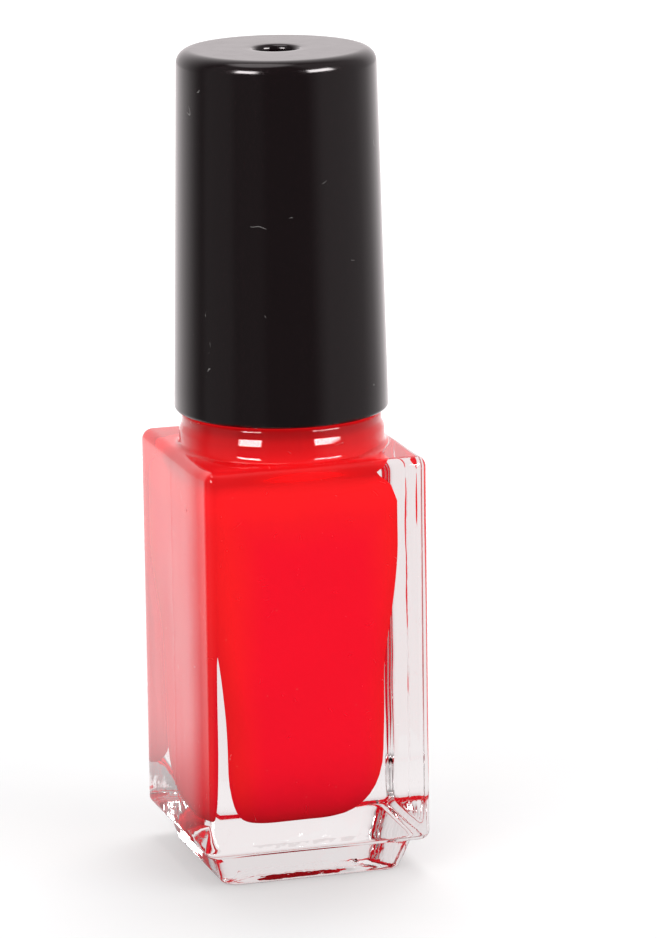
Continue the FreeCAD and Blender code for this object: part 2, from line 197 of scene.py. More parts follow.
class Nodes:
    """Short names for the shader nodes used below."""

    def __init__(self, owner):
        owner.use_nodes = True
        self.tree = owner.node_tree
        self.tree.nodes.clear()

    def add(self, kind, ins=(), out=0, **props):
        node = self.tree.nodes.new(kind)
        for key, value in props.items():
            setattr(node, key, value)
        for key, value in (ins.items() if isinstance(ins, dict) else enumerate(ins)):
            if value is None:
                continue
            socket = node.inputs[key]
            if isinstance(value, bpy.types.NodeSocket):
                self.tree.links.new(value, socket)
            else:
                socket.default_value = value
        return node.outputs[out] if node.outputs else node

    def math(self, operation, a, b=None, c=None):
        return self.add("ShaderNodeMath", (a, b, c), operation=operation)

    def dot(self, vector, axis):
        return self.add("ShaderNodeVectorMath", (vector, tuple(axis)), out="Value", operation="DOT_PRODUCT")

    def step(self, value, low, high, to_low=0.0, to_high=1.0):
        """Eases from to_low to to_high as value goes from low to high."""
        ins = {"Value": value, "From Min": low, "From Max": high, "To Min": to_low, "To Max": to_high}
        return self.add("ShaderNodeMapRange", ins, interpolation_type="SMOOTHSTEP")

    def near(self, value, middle, reach, soft):
        """1 within reach of middle, easing to 0 over soft."""
        away = self.math("ABSOLUTE", self.math("SUBTRACT", value, middle))
        return self.step(away, reach - soft, reach + soft, 1.0, 0.0)

    def place(self, scale=(1, 1, 1)):
        """The piece's own coordinates in millimetres, stretched by scale."""
        where = self.add("ShaderNodeTexCoord", out="Object")
        stretch = tuple(s / MM for s in scale)
        return self.add("ShaderNodeMapping", {"Vector": where, "Scale": stretch})

    def noise(self, where, scale, detail=3.0, rough=0.5):
        ins = {"Vector": where, "Scale": scale, "Detail": detail, "Roughness": rough}
        return self.add("ShaderNodeTexNoise", ins, out="Fac")

    def mix(self, factor, a, b):
        return self.add("ShaderNodeMix", {0: factor, 6: a, 7: b}, out=2, data_type="RGBA")

    def bump(self, height, strength, distance):
        """Distance is in millimetres."""
        return self.add("ShaderNodeBump", {"Height": height, "Strength": strength, "Distance": distance * MM})

    def shader(self, ins):
        return self.add("ShaderNodeBsdfPrincipled", ins)

    def finish(self, shader, kind="ShaderNodeOutputMaterial"):
        self.add(kind, (shader,))


def material(name):
    mat = bpy.data.materials.new(name)
    return mat, Nodes(mat)


def specks(n, where, scale, size, seed, rare=0.8):
    """Sparse round dots: 1 inside a dot. Only cells whose random number is high have one."""
    moved = n.add("ShaderNodeVectorMath", (where, (seed, seed * 0.7, seed * 1.3)), operation="ADD")
    cells = n.add("ShaderNodeTexVoronoi", {"Vector": moved, "Scale": scale}, out="Distance")
    colour = n.add("ShaderNodeTexVoronoi", {"Vector": moved, "Scale": scale}, out="Color")
    chosen = n.math("GREATER_THAN", n.add("ShaderNodeSeparateColor", (colour,)), rare)
    inside = n.math("LESS_THAN", cells, size * scale)
    return n.math("MULTIPLY", chosen, inside)


def scratches(n, where, scale, thin, keep, seed):
    """Short hair-thin curved scratches: contour lines of a broad noise, broken up by another."""
    moved = n.add("ShaderNodeVectorMath", (where, (seed, seed * 1.9, seed * 0.6)), operation="ADD")
    broad = n.noise(moved, scale, 1.0, 0.4)
    line = n.near(broad, 0.5, thin, thin * 0.6)
    pieces = n.step(n.noise(moved, scale * 2.3, 2.0), keep, keep + 0.03)
    return n.math("MULTIPLY", line, pieces)


def cap_black():
    """Polished black plastic with dust and fine scratches."""
    mat, n = material("cap_black")
    where = n.place()
    rough = n.step(n.noise(n.place((1, 1, 0.25)), 0.8, 4.0), 0.3, 0.8, 0.12, 0.17)
    dust = n.math("MAXIMUM", specks(n, where, 0.42, 0.075, 3.1, 0.9), specks(n, where, 0.7, 0.045, 11.7, 0.92))
    hair = scratches(n, where, 0.33, 0.0025, 0.66, 5.3)
    mark = n.math("MAXIMUM", dust, n.math("MULTIPLY", hair, 0.5))
    colour = n.mix(mark, (0.0052, 0.0021, 0.0027, 1), (0.35, 0.34, 0.33, 1))
    rough = n.math("ADD", rough, n.math("MULTIPLY", mark, 0.5))
    sway = n.noise(n.place((1, 1, 0.08)), 0.35, 2.0)
    normal = n.bump(n.math("ADD", sway, n.math("MULTIPLY", mark, 0.15)), 0.25, 0.05)
    n.finish(n.shader({"Base Color": colour, "Roughness": rough, "IOR": 1.5, "Normal": normal}))
    return mat


def clear_glass():
    """Clear glass, rougher at its base. Light that reaches matt surfaces passes straight through it."""
    mat, n = material("clear_glass")
    where = n.place()
    ripple = n.noise(n.place((1, 1, 0.35)), 0.28, 2.0)
    hair = scratches(n, where, 0.5, 0.0025, 0.62, 8.1)
    dust = specks(n, where, 1.1, 0.035, 2.2)
    mark = n.math("MAXIMUM", dust, hair)
    rough = n.math("MULTIPLY", mark, 0.35)
    height = n.add("ShaderNodeSeparateXYZ", (where,), out="Z")
    cast = n.math("MULTIPLY", n.noise(where, 0.7, 2.0, 0.5), n.step(height, 1.5, 5.5, 2.4, 0.0))
    relief = n.math("ADD", n.math("ADD", ripple, cast), n.math("MULTIPLY", mark, 0.06))
    normal = n.bump(relief, 0.35, 0.06)
    glass = n.shader({
        "Base Color": (0.985, 0.995, 0.99, 1), "Roughness": rough, "IOR": 1.5,
        "Transmission Weight": 1.0, "Normal": normal,
    })
    leaving = n.add("ShaderNodeNewGeometry", out="Backfacing")
    see = n.add("ShaderNodeBsdfTransparent", (n.mix(leaving, (0.34, 0.33, 0.33, 1), (0.97, 0.97, 0.97, 1)),))
    shadow = n.add("ShaderNodeLightPath", out="Is Shadow Ray")
    diffuse = n.add("ShaderNodeLightPath", out="Is Diffuse Ray")
    n.finish(n.add("ShaderNodeMixShader", (n.math("MAXIMUM", shadow, diffuse), glass, see)))
    return mat


def red_lacquer():
    """Lacquer against glass has no gloss of its own; its free surface in the neck has. Its colour has painted
    light:
    a little brighter at its edges, top and foot, and painted shade makes it darker in the neck, under the cap."""
    mat, n = material("red_lacquer")
    where = n.place()
    split = n.tree.nodes.new("ShaderNodeSeparateXYZ")
    n.tree.links.new(where, split.inputs[0])
    x, y, height = split.outputs
    drift = n.noise(n.place((1, 1, 0.5)), 0.16, 3.0)
    # painted light: the colour is made a little brighter towards the edges and corners, towards the top and at
    # the foot
    edge = n.math("MINIMUM", n.math("ABSOLUTE", x), n.math("ABSOLUTE", y))
    uneven_edge = n.math("MULTIPLY_ADD", n.math("SUBTRACT", drift, 0.5), 2.5, edge)
    top = n.step(n.math("MULTIPLY_ADD", drift, 3.0, height), 26.5, 31.5)
    foot = n.step(height, 4.2, 6.2, 0.4, 0.0)
    painted_light = n.math("MAXIMUM", n.math("MAXIMUM", top, foot), n.step(uneven_edge, 3.6, 6.6))
    colour = n.mix(painted_light, (0.97, 0.003, 0.019, 1), (1.0, 0.01, 0.014, 1))
    # painted shade: the lacquer is coloured darker in the neck, where the cap's overhang shades it
    colour = n.mix(n.step(height, 31.6, 34.6, 0.0, 0.4), colour, (0.3, 0.0, 0.002, 1))
    dots = specks(n, where, 1.3, 0.05, 4.4)
    colour = n.mix(n.math("MULTIPLY", dots, 0.35), colour, (0.95, 0.25, 0.2, 1))
    free = n.step(height, 35.4, 35.9)
    n.finish(n.shader({
        "Base Color": colour, "Roughness": 0.6, "IOR": 1.5, "Specular IOR Level": 0.0,
        "Coat Weight": free, "Coat Roughness": 0.04,
    }))
    return mat


def wet_red(n, dry, where):
    """A dry colour under a film of lacquer, up to the height that the neck's liquid reaches."""
    height = n.add("ShaderNodeSeparateXYZ", (where,), out="Z")
    ragged = n.math("ADD", height, n.noise(n.place((1, 1, 0.3)), 0.9, 3.0))
    wet = n.step(ragged, LACQUER_HIGH.z - 0.2, LACQUER_HIGH.z + 0.3, 1.0, 0.0)
    return wet, n.mix(wet, dry, (0.72, 0.003, 0.012, 1))


def stem_plastic():
    mat, n = material("stem_plastic")
    wet, colour = wet_red(n, (0.8, 0.8, 0.78, 1), n.place())
    grain = n.noise(n.place(), 3.0, 4.0)
    rough = n.math("SUBTRACT", 0.42, n.math("MULTIPLY", wet, 0.3))
    n.finish(n.shader({
        "Base Color": colour, "Roughness": rough, "IOR": 1.5, "Subsurface Weight": 0.1,
        "Normal": n.bump(grain, 0.2, 0.03),
    }))
    return mat


def bristle_nylon():
    mat, n = material("bristle_nylon")
    streak = n.noise(n.place((1, 1, 0.1)), 6.0, 3.0)
    colour = n.mix(n.step(streak, 0.35, 0.7), (0.45, 0.002, 0.008, 1), (0.8, 0.006, 0.016, 1))
    n.finish(n.shader({"Base Color": colour, "Roughness": n.step(streak, 0.3, 0.8, 0.12, 0.3), "IOR": 1.5}))
    return mat


def plain(name, colour, other, scale, rough, bump, metal=0.0):
    """A moulded or metal surface: two close colours in a fine grain."""
    mat, n = material(name)
    grain = n.noise(n.place(), scale, 5.0, 0.6)
    n.finish(n.shader({
        "Base Color": n.mix(n.step(grain, 0.35, 0.65), (*colour, 1), (*other, 1)),
        "Roughness": n.step(grain, 0.3, 0.7, rough, rough + 0.12), "Metallic": metal,
        "Normal": n.bump(grain, 0.3, bump),
    }))
    return mat


# ---------------------------------------------------------------- the bottle

# body
CORNER = 1.0
SHOULDER = 32.0
SHOULDER_ROUND = 0.8
HEEL = 2.6
HEEL_ROUND = 0.6
SIDE_RINGS = 90
# how hollow its sides are, how far the near edge of the left side stands in, and over what length
HOLLOW_DEPTH = 0.035
CROWN = 0.36
CROWN_REACH = 4.5
# share of the seam's ridge that is left on the left side
LEFT_SEAM = 0.1

# foot: half widths, corner and round
FOOT_TOP = 7.75
FOOT_BASE = 6.9
FOOT_CORNER = 1.2
FOOT_ROUND = 0.4
# recess under the foot: half widths and heights, from its middle out to the flat ring that stands on the table
PUSH_UP_DEPTH = 0.45
PUSH_UP = ((1.2, PUSH_UP_DEPTH), (3.5, PUSH_UP_DEPTH), (4.2, 0.4), (5.4, 0.05), (5.7, 0.0), (6.0, 0.0))

# collar, neck and thread
COLLAR_FOOT = 7.68
COLLAR_TOP_RADIUS = 7.44
COLLAR_TOP = 34.55
COLLAR_COVE = 0.5
NECK = 5.75
THREAD_START = 38.35
PITCH = 2.117
THREAD_TURNS = 1.25
THREAD_DEPTH = 0.65
# plain neck kept in the threaded stretch at either end, and the distance between its rings
THREAD_MARGIN = 0.75
THREAD_RING = 0.14

# cavity
BORE = 4.0
THROAT = 5.2
CAVITY_FLOOR = 4.2
CAVITY_TOP = 30.4
CAVITY_TOP_ROUND = 1.9
FLOOR_ROUND = 3.3
FLOOR_RISE = 5.2
# from the axis to the left wall low down, and what it gains in two steps on the way up
CAVITY_LEFT = (6.85, 0.7, 0.3)
# from the axis to the other walls, low down and high up, and the radius of the upright corners there
CAVITY_RIGHT = (5.75, 6.8)
CAVITY_FRONT = (6.9, 7.1)
CAVITY_BACK = (7.1, 7.6)
CAVITY_CORNER = (2.6, 1.4)
# how far the low left wall comes in towards the back, as a share of its distance from the axis
CAVITY_SLANT = 0.42


def uneven(x, y, z):
    """Fire-polished glass isn't quite flat: a slow swell of a few hundredths."""
    swell = math.sin(0.55 * x + 0.35 * z + 1.0) + math.sin(0.5 * y - 0.28 * z) + math.sin(0.9 * z + 0.4 * y + x)
    return 0.011 * swell


def hollow(along, x, y, z):
    """How far a side stands in at a distance along it from its middle, where it is a little hollow."""
    return (HOLLOW_DEPTH + uneven(x, y, z)) * max(0, 1 - (along / (HALF - CORNER)) ** 2)


def parting_line(y, z):
    """Height of the ridge that the mould's joint leaves up the middle of a side."""
    wander = 0.07 * math.sin(1.3 * z) + 0.05 * math.sin(3.7 * z + 1)
    height = 0.065 + 0.03 * math.sin(5.1 * z) * math.sin(2.3 * z)
    return smooth(1 - abs(y - wander) / SEAM_REACH) * height


def side_ring(z, half=HALF, corner=CORNER):
    """The body's outline, with hollow sides and the mould's seam. Its left side eases in at its near edge."""
    rise = smooth((z - HEEL) / 3)
    core = half - corner
    ring = []
    for x, y, _ in square_ring(half, corner, z):
        in_x, in_y = hollow(y, x, y, z), hollow(x, x, y, z)
        in_x -= parting_line(y, z) * (1 if x > 0 else LEFT_SEAM) * smooth((SHOULDER - z) / 2)
        if x < 0 and y < 0:
            in_x += min(CROWN, 0.8 * corner) * max(0, 1 - max(0, core + y) / CROWN_REACH) ** 3
        in_x = rise * max(0, in_x) * min(max((abs(x) - core) / corner, 0), 1)
        in_y = rise * max(0, in_y) * min(max((abs(y) - core) / corner, 0), 1)
        ring.append((x - math.copysign(in_x, x), y - math.copysign(in_y, y), z))
    return ring


def shoulder_height(x, y, edge=SHOULDER):
    """Top of the glass between its sides and the collar, raised by the collar's cove."""
    away = COLLAR_FOOT + COLLAR_COVE - math.hypot(x, y)
    if away > 0:
        edge = max(edge, SHOULDER + COLLAR_COVE - math.sqrt(max(0, COLLAR_COVE**2 - away**2)))
    return edge


def thread_height(x, y, z):
    """How far the neck's thread stands out at a point."""
    turn = math.atan2(y, x) % TURN
    best = 0
    for lap in range(3):
        along = turn / TURN + lap
        if 0 <= along <= THREAD_TURNS:
            off = abs(z - THREAD_START - along * PITCH)
            rise = smooth((0.62 - off) / 0.36)
            ends = smooth(along / 0.06) * smooth((THREAD_TURNS - along) / 0.06)
            best = max(best, rise * ends)
    return THREAD_DEPTH * best


def outer_rings():
    """The glass's outside, from the recess under its foot up to the rim."""
    like = square_ring(HALF, CORNER, 0)
    rings = []
    for half, z in PUSH_UP:
        rings.append(square_ring(half, 0.3 * half, z))
    foot = FOOT_BASE - FOOT_ROUND
    rings.append(square_ring(foot - 0.2, FOOT_CORNER - FOOT_ROUND, 0))
    lean = (FOOT_TOP - FOOT_BASE) / HEEL
    for across, up in reversed(fillet((FOOT_BASE + lean * FOOT_ROUND, FOOT_ROUND), (foot, 0), 5)):
        rings.append(square_ring(across, FOOT_CORNER - (FOOT_BASE - across), up))
    for up in (0.9, 1.5, 2.1):
        rings.append(square_ring(FOOT_BASE + lean * up, FOOT_CORNER, up))
    for across, up in fillet((FOOT_TOP - 0.05, HEEL - 0.2), (FOOT_TOP + 0.17, HEEL), 3):
        rings.append(square_ring(across, FOOT_CORNER - 0.1, up))
    for across, up in reversed(fillet((HALF, HEEL + HEEL_ROUND), (HALF - HEEL_ROUND, HEEL), 6)):
        rings.append(side_ring(up, across, CORNER - (HALF - across)))
    low, high = HEEL + HEEL_ROUND, SHOULDER - SHOULDER_ROUND
    for step in range(1, SIDE_RINGS):
        rings.append(side_ring(lerp(low, high, step / SIDE_RINGS)))
    for step in range(9):
        turn = math.pi / 2 * step / 8
        inset = SHOULDER_ROUND * (1 - math.cos(turn))
        edge = high + SHOULDER_ROUND * math.sin(turn)
        ring = side_ring(edge, HALF - inset, CORNER - inset)
        rings.append([(x, y, shoulder_height(x, y, edge)) for x, y, _ in ring])
    inner = round_ring(COLLAR_FOOT, 0, like)
    last = rings[-1]
    for step in range(1, 12):
        t = step / 12
        ring = []
        for (ax, ay, _), (bx, by, _) in zip(last, inner):
            x, y = lerp(ax, bx, t), lerp(ay, by, t)
            ring.append((x, y, shoulder_height(x, y)))
        rings.append(ring)
    # the collar steps in at mid height
    profile = [(COLLAR_FOOT, SHOULDER + COLLAR_COVE), (COLLAR_FOOT, 33.2)]
    profile += [(COLLAR_FOOT - 0.03, 33.34), (COLLAR_TOP_RADIUS + 0.05, 33.72), (COLLAR_TOP_RADIUS, 33.9)]
    profile += fillet((COLLAR_TOP_RADIUS, COLLAR_TOP - 0.3), (COLLAR_TOP_RADIUS - 0.3, COLLAR_TOP), 5)
    profile += [(NECK + 0.5, COLLAR_TOP)]
    profile += reversed(fillet((NECK, COLLAR_TOP + 0.35), (NECK + 0.35, COLLAR_TOP), 4))
    for radius, z in profile:
        rings.append(round_ring(radius, z, like))
    low, high = THREAD_START - THREAD_MARGIN, THREAD_START + THREAD_TURNS * PITCH + THREAD_MARGIN
    count = round((high - low) / THREAD_RING)
    for step in range(count + 1):
        z = lerp(low, high, step / count)
        ring = []
        for x, y, _ in round_ring(NECK, z, like):
            grow = 1 + thread_height(x, y, z) / NECK
            ring.append((x * grow, y * grow, z))
        rings.append(ring)
    for radius, z in fillet((NECK, RIM - 0.5), (NECK - 0.5, RIM), 5):
        rings.append(round_ring(radius, z, like))
    return rings


def cavity_ring(share, grow=0.0):
    """The cavity's side at a share of the way up from its floor. Blown glass is uneven: the wall is thick
    on the right, most so low down, and thick at the low left, where it slants in from front to back."""
    top = CAVITY_TOP - CAVITY_TOP_ROUND
    z = lerp(CAVITY_FLOOR, top, share)
    rise = min(1.0, (z - CAVITY_FLOOR) / FLOOR_RISE)
    inset = FLOOR_ROUND * (1 - math.sqrt(max(0, 1 - (1 - rise) ** 2)))
    low_left, more, most = CAVITY_LEFT
    left = low_left + more * smooth((z - 12) / 9) + most * smooth((z - 19) / 6) - 0.6 * inset
    right = lerp(*CAVITY_RIGHT, smooth((z - 15.5) / 10)) - inset
    front = lerp(*CAVITY_FRONT, smooth((z - 8) / 9)) - inset
    back = lerp(*CAVITY_BACK, smooth((z - 8) / 9)) - inset
    left, right, front, back = left + grow, right + grow, front + grow, back + grow
    corner = lerp(*CAVITY_CORNER, smooth((z - 7) / 12))
    corner = min(corner, 0.9 * (left + right) / 2)
    slant = CAVITY_SLANT * (1 - smooth((z - 15) / 9))
    ring = []
    for x, y, _ in box_ring(left, right, front, back, corner, z):
        if x < 0:
            x *= 1 - slant * (y + front) / (front + back)
        turn = math.atan2(y, x)
        wave = 0.045 * math.sin(z * 0.42 + 2 * turn) + 0.03 * math.sin(z * 0.85 - 3 * turn + 1.3)
        fade = smooth(rise) * smooth((1 - share) * 6)
        stretch = 1 + wave * fade / left
        ring.append((x * stretch, y * stretch, z))
    return ring


def cavity_top_ring(t, grow=0.0):
    """Between the throat's circle, at 0, and the top of the cavity's side, at 1."""
    outer = cavity_ring(1.0, grow)
    ring = []
    for x, y, _ in outer:
        reach = math.hypot(x, y)
        cx, cy = x / reach * (THROAT + grow), y / reach * (THROAT + grow)
        px, py = lerp(cx, x, t), lerp(cy, y, t)
        inward = max(0.0, (reach - math.hypot(px, py)) / reach * max(abs(x), abs(y)))
        lift = math.sqrt(max(0, 1 - max(0, 1 - inward / CAVITY_TOP_ROUND) ** 2))
        z = CAVITY_TOP - CAVITY_TOP_ROUND * (1 - lift) + grow
        ring.append((px, py, z))
    return ring


def inner_rings(grow=0.0, level=None):
    """From the cavity's floor up to the rim, or to a liquid's level."""
    like = cavity_ring(1.0)
    rings = []
    flat = cavity_ring(0.0, grow)
    for share in (0.35, 0.75):
        rings.append([(x * share, y * share, CAVITY_FLOOR - grow) for x, y, _ in flat])
    shares = [0, 0.004, 0.012, 0.024, 0.042, 0.066, 0.096, 0.13, 0.17, 0.215]
    shares += [lerp(0.24, 1.0, step / 22) for step in range(23)]
    for share in shares:
        ring = cavity_ring(share, grow)
        drop = grow if share == 0 else 0
        rings.append([(x, y, z - drop) for x, y, z in ring])
    for step in range(10, -1, -1):
        rings.append(cavity_top_ring((step / 11) ** 1.5, grow))
    profile = [(THROAT + 0.04, CAVITY_TOP + 0.12), (THROAT, CAVITY_TOP + 0.5)]
    profile += [(THROAT, 33.8), (THROAT - 0.05, 34.1)]
    profile += [(lerp(THROAT, BORE, smooth(step / 6)), lerp(34.15, 36.0, step / 6)) for step in range(1, 7)]
    if level is None:
        profile += [(BORE, 36.4), (BORE, 40.0)]
        profile += fillet((BORE, RIM - 0.5), (BORE + 0.5, RIM), 5)[:-1]
    else:
        profile += [(BORE, level - 0.12), (BORE, level)]
    for radius, z in profile:
        rings.append(round_ring(radius + grow, z, like))
    return rings


def make_glass():
    """One closed skin: up the outside, over the rim and down the inside."""
    bm = bmesh.new()
    rings = outer_rings() + [round_ring(BORE + 0.5, RIM, cavity_ring(1.0))] + list(reversed(inner_rings()))
    skin(bm, rings, (0, 0, PUSH_UP_DEPTH), (0, 0, CAVITY_FLOOR))
    piece = mesh_object("glass_body", bm, 60)
    piece.data.materials.append(clear_glass())
    dress(piece, "bottle", "glass_bottle")


def make_lacquer():
    """The liquid reaches a hair into the glass, so that no air shows between them."""
    wet = 0.015
    level = LACQUER_HIGH.z
    like = cavity_ring(1.0)
    rings = inner_rings(wet, level)
    for radius, z in ((BORE - 0.25, level - 0.14), (BORE - 0.7, level - 0.22), (2.0, level - 0.25)):
        rings.append(round_ring(radius, z, like))
    bm = bmesh.new()
    skin(bm, rings, (0, 0, CAVITY_FLOOR - wet), (0, 0, level - 0.25))
    piece = mesh_object("lacquer_fill", bm, 60)
    piece.data.materials.append(red_lacquer())
    dress(piece, "bottle", "lacquer")


# ------------------------------------------------------------------- the cap


def make_cap():
    """The outer cap: a slightly tapered shell with a dimple in its top, hollow above the inner cap's seat."""
    low, high = CAP_LOW.z, CAP_HIGH.z
    top_radius = CAP_RADIUS - 0.61
    top_round, mouth_round, lip = 1.05, 0.35, 0.4
    dimple, dimple_floor = 1.55, high - 4.5
    bore = INNER_HIGH.x + 0.03
    seat = INNER_HIGH.z + 0.03
    hollow_radius = bore - 0.61
    ceiling = high - 1.6
    post = dimple + 1.5
    head_hole, head_top = 1.7, STEM_HIGH.z + 0.03
    edge_radius = top_radius + 0.025
    profile = [(0, dimple_floor), (0.7, dimple_floor), (dimple - 0.15, dimple_floor)]
    profile += [(dimple, dimple_floor + 0.2), (dimple, high - 2.5)]
    profile += fillet((dimple, high - lip), (dimple + lip, high), 7)
    profile += [(dimple + lip + 0.6, high), (4.5, high), (top_radius - top_round - 0.25, high)]
    profile += reversed(fillet((edge_radius, high - top_round), (top_radius - top_round, high), 12))
    for step in range(1, 16):
        t = step / 16
        profile.append((lerp(edge_radius, CAP_RADIUS, t), lerp(high - top_round, low + mouth_round, t)))
    profile += fillet((CAP_RADIUS, low + mouth_round), (CAP_RADIUS - mouth_round, low), 6)
    profile += [(bore + 0.12, low), (bore, low + 0.12), (bore, seat), (hollow_radius, seat)]
    profile += [(hollow_radius, ceiling), (post, ceiling), (post, seat)]
    profile += [(head_hole, seat), (head_hole, head_top), (0, head_top)]
    piece = turned("cap_shell", profile, 192, 50)
    piece.data.materials.append(cap_black())
    dress(piece, "cap", "outer_cap")


# ------------------------------------------------- the brush, and the balls

FILAMENTS = 170
FILAMENT_SIDES = 6
FILAMENT_STEPS = 11
# turn between neighbours that spreads points evenly over a disc
GOLDEN_TURN = 0.381966 * TURN


def make_bristles():
    """A bundle of thin wet filaments that spreads below the stem and closes to a rounded tip."""
    rng = random.Random(41)
    bm = bmesh.new()
    low, high = TUFT_LOW.z, TUFT_HIGH.z
    mouth = STEM_LOW.z
    root, belly = 0.8, TUFT_HIGH.x - 0.09
    for i in range(FILAMENTS):
        out = math.sqrt((i + 0.5) / FILAMENTS)
        turn = i * GOLDEN_TURN
        tip = lerp(low, low + 2.2, out**2.2) + rng.uniform(0, 0.35)
        sway, phase = rng.uniform(0.01, 0.045), rng.uniform(0, TURN)
        rings = []
        for step in range(FILAMENT_STEPS + 1):
            t = step / FILAMENT_STEPS
            z = lerp(high - 0.05, tip, t)
            spread = smooth((mouth + 0.6 - z) / 6.5)
            close = smooth((low + 3.2 - z) / 3.2)
            reach = out * lerp(lerp(root, belly, spread), 0.55, close * 0.8)
            reach += sway * spread * math.sin(phase + 5 * t)
            thick = lerp(0.042, 0.07, spread) * (1 - 0.45 * t**6)
            x, y = reach * math.cos(turn), reach * math.sin(turn)
            rings.append([(x + px, y + py, z) for px, py, _ in even_ring(thick, 0, FILAMENT_SIDES)])
        skin(bm, rings, tip_of(rings[0], 0.02), tip_of(rings[-1], -0.03))
    piece = mesh_object("bristles", bm, 80)
    piece.data.materials.append(bristle_nylon())
    dress(piece, "brush", "bristle_tuft")


BALL_RADIUS = 1.6
BALL_SIDES = 40
BALL_STEPS = 24
BALL_PLACES = {"mixing_ball_1": (2.5, -2.2), "mixing_ball_2": (-2.1, 2.6)}


def make_balls():
    """The glass is thicker at the uneven base than in the solids, so the balls are drawn a little smaller,
    and nearer the axis, to lie wholly in the lacquer."""
    finish = plain("ball_steel", (0.62, 0.62, 0.64), (0.52, 0.52, 0.54), 3.0, 0.12, 0.01, 1.0)
    for node, (x, y) in BALL_PLACES.items():
        middle = CAVITY_FLOOR + BALL_RADIUS + 0.1
        rings = []
        for step in range(1, BALL_STEPS):
            turn = math.pi * step / BALL_STEPS
            ring = even_ring(BALL_RADIUS * math.sin(turn), middle - BALL_RADIUS * math.cos(turn), BALL_SIDES)
            rings.append([(x + px, y + py, z) for px, py, z in ring])
        bm = bmesh.new()
        skin(bm, rings, (x, y, middle - BALL_RADIUS), (x, y, middle + BALL_RADIUS))
        piece = mesh_object(node + "_round", bm)
        piece.data.materials.append(finish)
        dress(piece, "bottle", node)


make_glass()
make_lacquer()
make_balls()
make_cap()
make_bristles()

FINISHES = {
    "brush_stem": stem_plastic(),
    "brush_staple": plain("staple_metal", (0.75, 0.58, 0.3), (0.62, 0.46, 0.22), 4.0, 0.22, 0.02, 1.0),
    "inner_cap": plain("inner_cap_plastic", (0.02, 0.02, 0.021), (0.032, 0.032, 0.033), 5.0, 0.4, 0.03),
    "sealing_liner": plain("liner_foam", (0.84, 0.84, 0.8), (0.66, 0.66, 0.62), 7.0, 0.75, 0.08),
}
for node, finish in FINISHES.items():
    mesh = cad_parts[node].data
    mesh.materials.clear()
    mesh.materials.append(finish)


# ---------------------------------------------------------------- the studio

# brightness that polished surfaces see in the room behind the object, on the floor there, and by the camera
BACK_GLOW = 1.18
FLOOR_GLOW = 1.5
FRONT_GLOW = 0.14
# the middle of the bright back lies this far to the camera's left
BACK_TURN = math.radians(4)
# faint walls to either side of the camera: azimuth, half width, brightness
WALLS = ((-70, 20, 0.18), (-31, 15, 0.07), (80, 36, 0.33))
# softboxes: azimuth from the camera, elevation, half width, half height, brightness
SOFTBOXES = ((-37, 27, 13, 9, 22.0), (55, 27, 16, 9, 22.0))
OVERHEAD = Vector((-0.16, 0.1, 0.98)).normalized()
OVERHEAD_GLOW = 2.2
# share of the room and of the floor that rays see once they leave the glass, and the least they see
THROUGH_GLASS = 0.7
FLOOR_THROUGH_GLASS = 0.6
SIDE_GLASS = 0.4
# brightness of the floor under the glass as rays in it see it, and share of its glow in plain reflections near
# the object, a painted shadow there
FLOOR_UNDER_GLASS = 0.95
FLOOR_MIRRORED = 0.6
# tint of what polished surfaces see
WARM = (1.0, 0.935, 0.945, 1)


def around(n, vector):
    """Azimuth from the camera, positive to its right, in radians."""
    return n.math("ARCTAN2", n.dot(vector, RIGHT), n.dot(vector, -AWAY))


def back_to_front(n, vector, brightest):
    """Brightness of the room as polished surfaces see it: white behind the object, dim by the camera."""
    away = n.dot(vector, AWAY * math.cos(BACK_TURN) - RIGHT * math.sin(BACK_TURN))
    glow = n.step(away, 0.08, 0.93, FRONT_GLOW, brightest)
    for turn, wide, strength in WALLS:
        wall = n.near(around(n, vector), math.radians(turn), math.radians(wide), math.radians(wide / 3))
        glow = n.math("MULTIPLY_ADD", wall, strength, glow)
    return glow


def make_world():
    """White to the camera, plain light to matt surfaces, and the room with its softboxes to polished ones."""
    world = bpy.data.worlds.new("studio")
    bpy.context.scene.world = world
    n = Nodes(world)
    look = n.add("ShaderNodeTexCoord", out="Generated")
    height = n.dot(look, (0, 0, 1))
    azimuth = around(n, look)
    elevation = n.math("ARCSINE", height)
    glow = back_to_front(n, look, BACK_GLOW)
    degree = math.radians(1)
    for turn, up, wide, tall, strength in SOFTBOXES:
        beside = n.near(azimuth, turn * degree, wide * degree, 1.5 * degree)
        above = n.near(elevation, up * degree, tall * degree, 1.5 * degree)
        glow = n.math("MULTIPLY_ADD", n.math("MULTIPLY", beside, above), strength, glow)
    over = n.dot(look, OVERHEAD)
    glow = n.math("MULTIPLY_ADD", n.step(over, 0.93, 0.975), OVERHEAD_GLOW, glow)
    polished = n.add("ShaderNodeLightPath", out="Is Glossy Ray")
    through = n.add("ShaderNodeLightPath", out="Is Transmission Ray")
    seen = n.add("ShaderNodeLightPath", out="Is Camera Ray")
    plain_light = n.step(height, -0.4, 0.9, 0.42, 0.55)
    strength = n.add("ShaderNodeMix", {0: polished, 2: plain_light, 3: glow}, out=0)
    dimmed = n.math("MAXIMUM", n.math("MULTIPLY", glow, THROUGH_GLASS), SIDE_GLASS)
    strength = n.add("ShaderNodeMix", {0: through, 2: strength, 3: dimmed}, out=0)
    strength = n.add("ShaderNodeMix", {0: seen, 2: strength, 3: 1.0}, out=0)
    tint = n.mix(polished, (1, 1, 1, 1), WARM)
    background = n.add("ShaderNodeBackground", {"Color": tint, "Strength": strength})
    n.finish(background, "ShaderNodeOutputWorld")


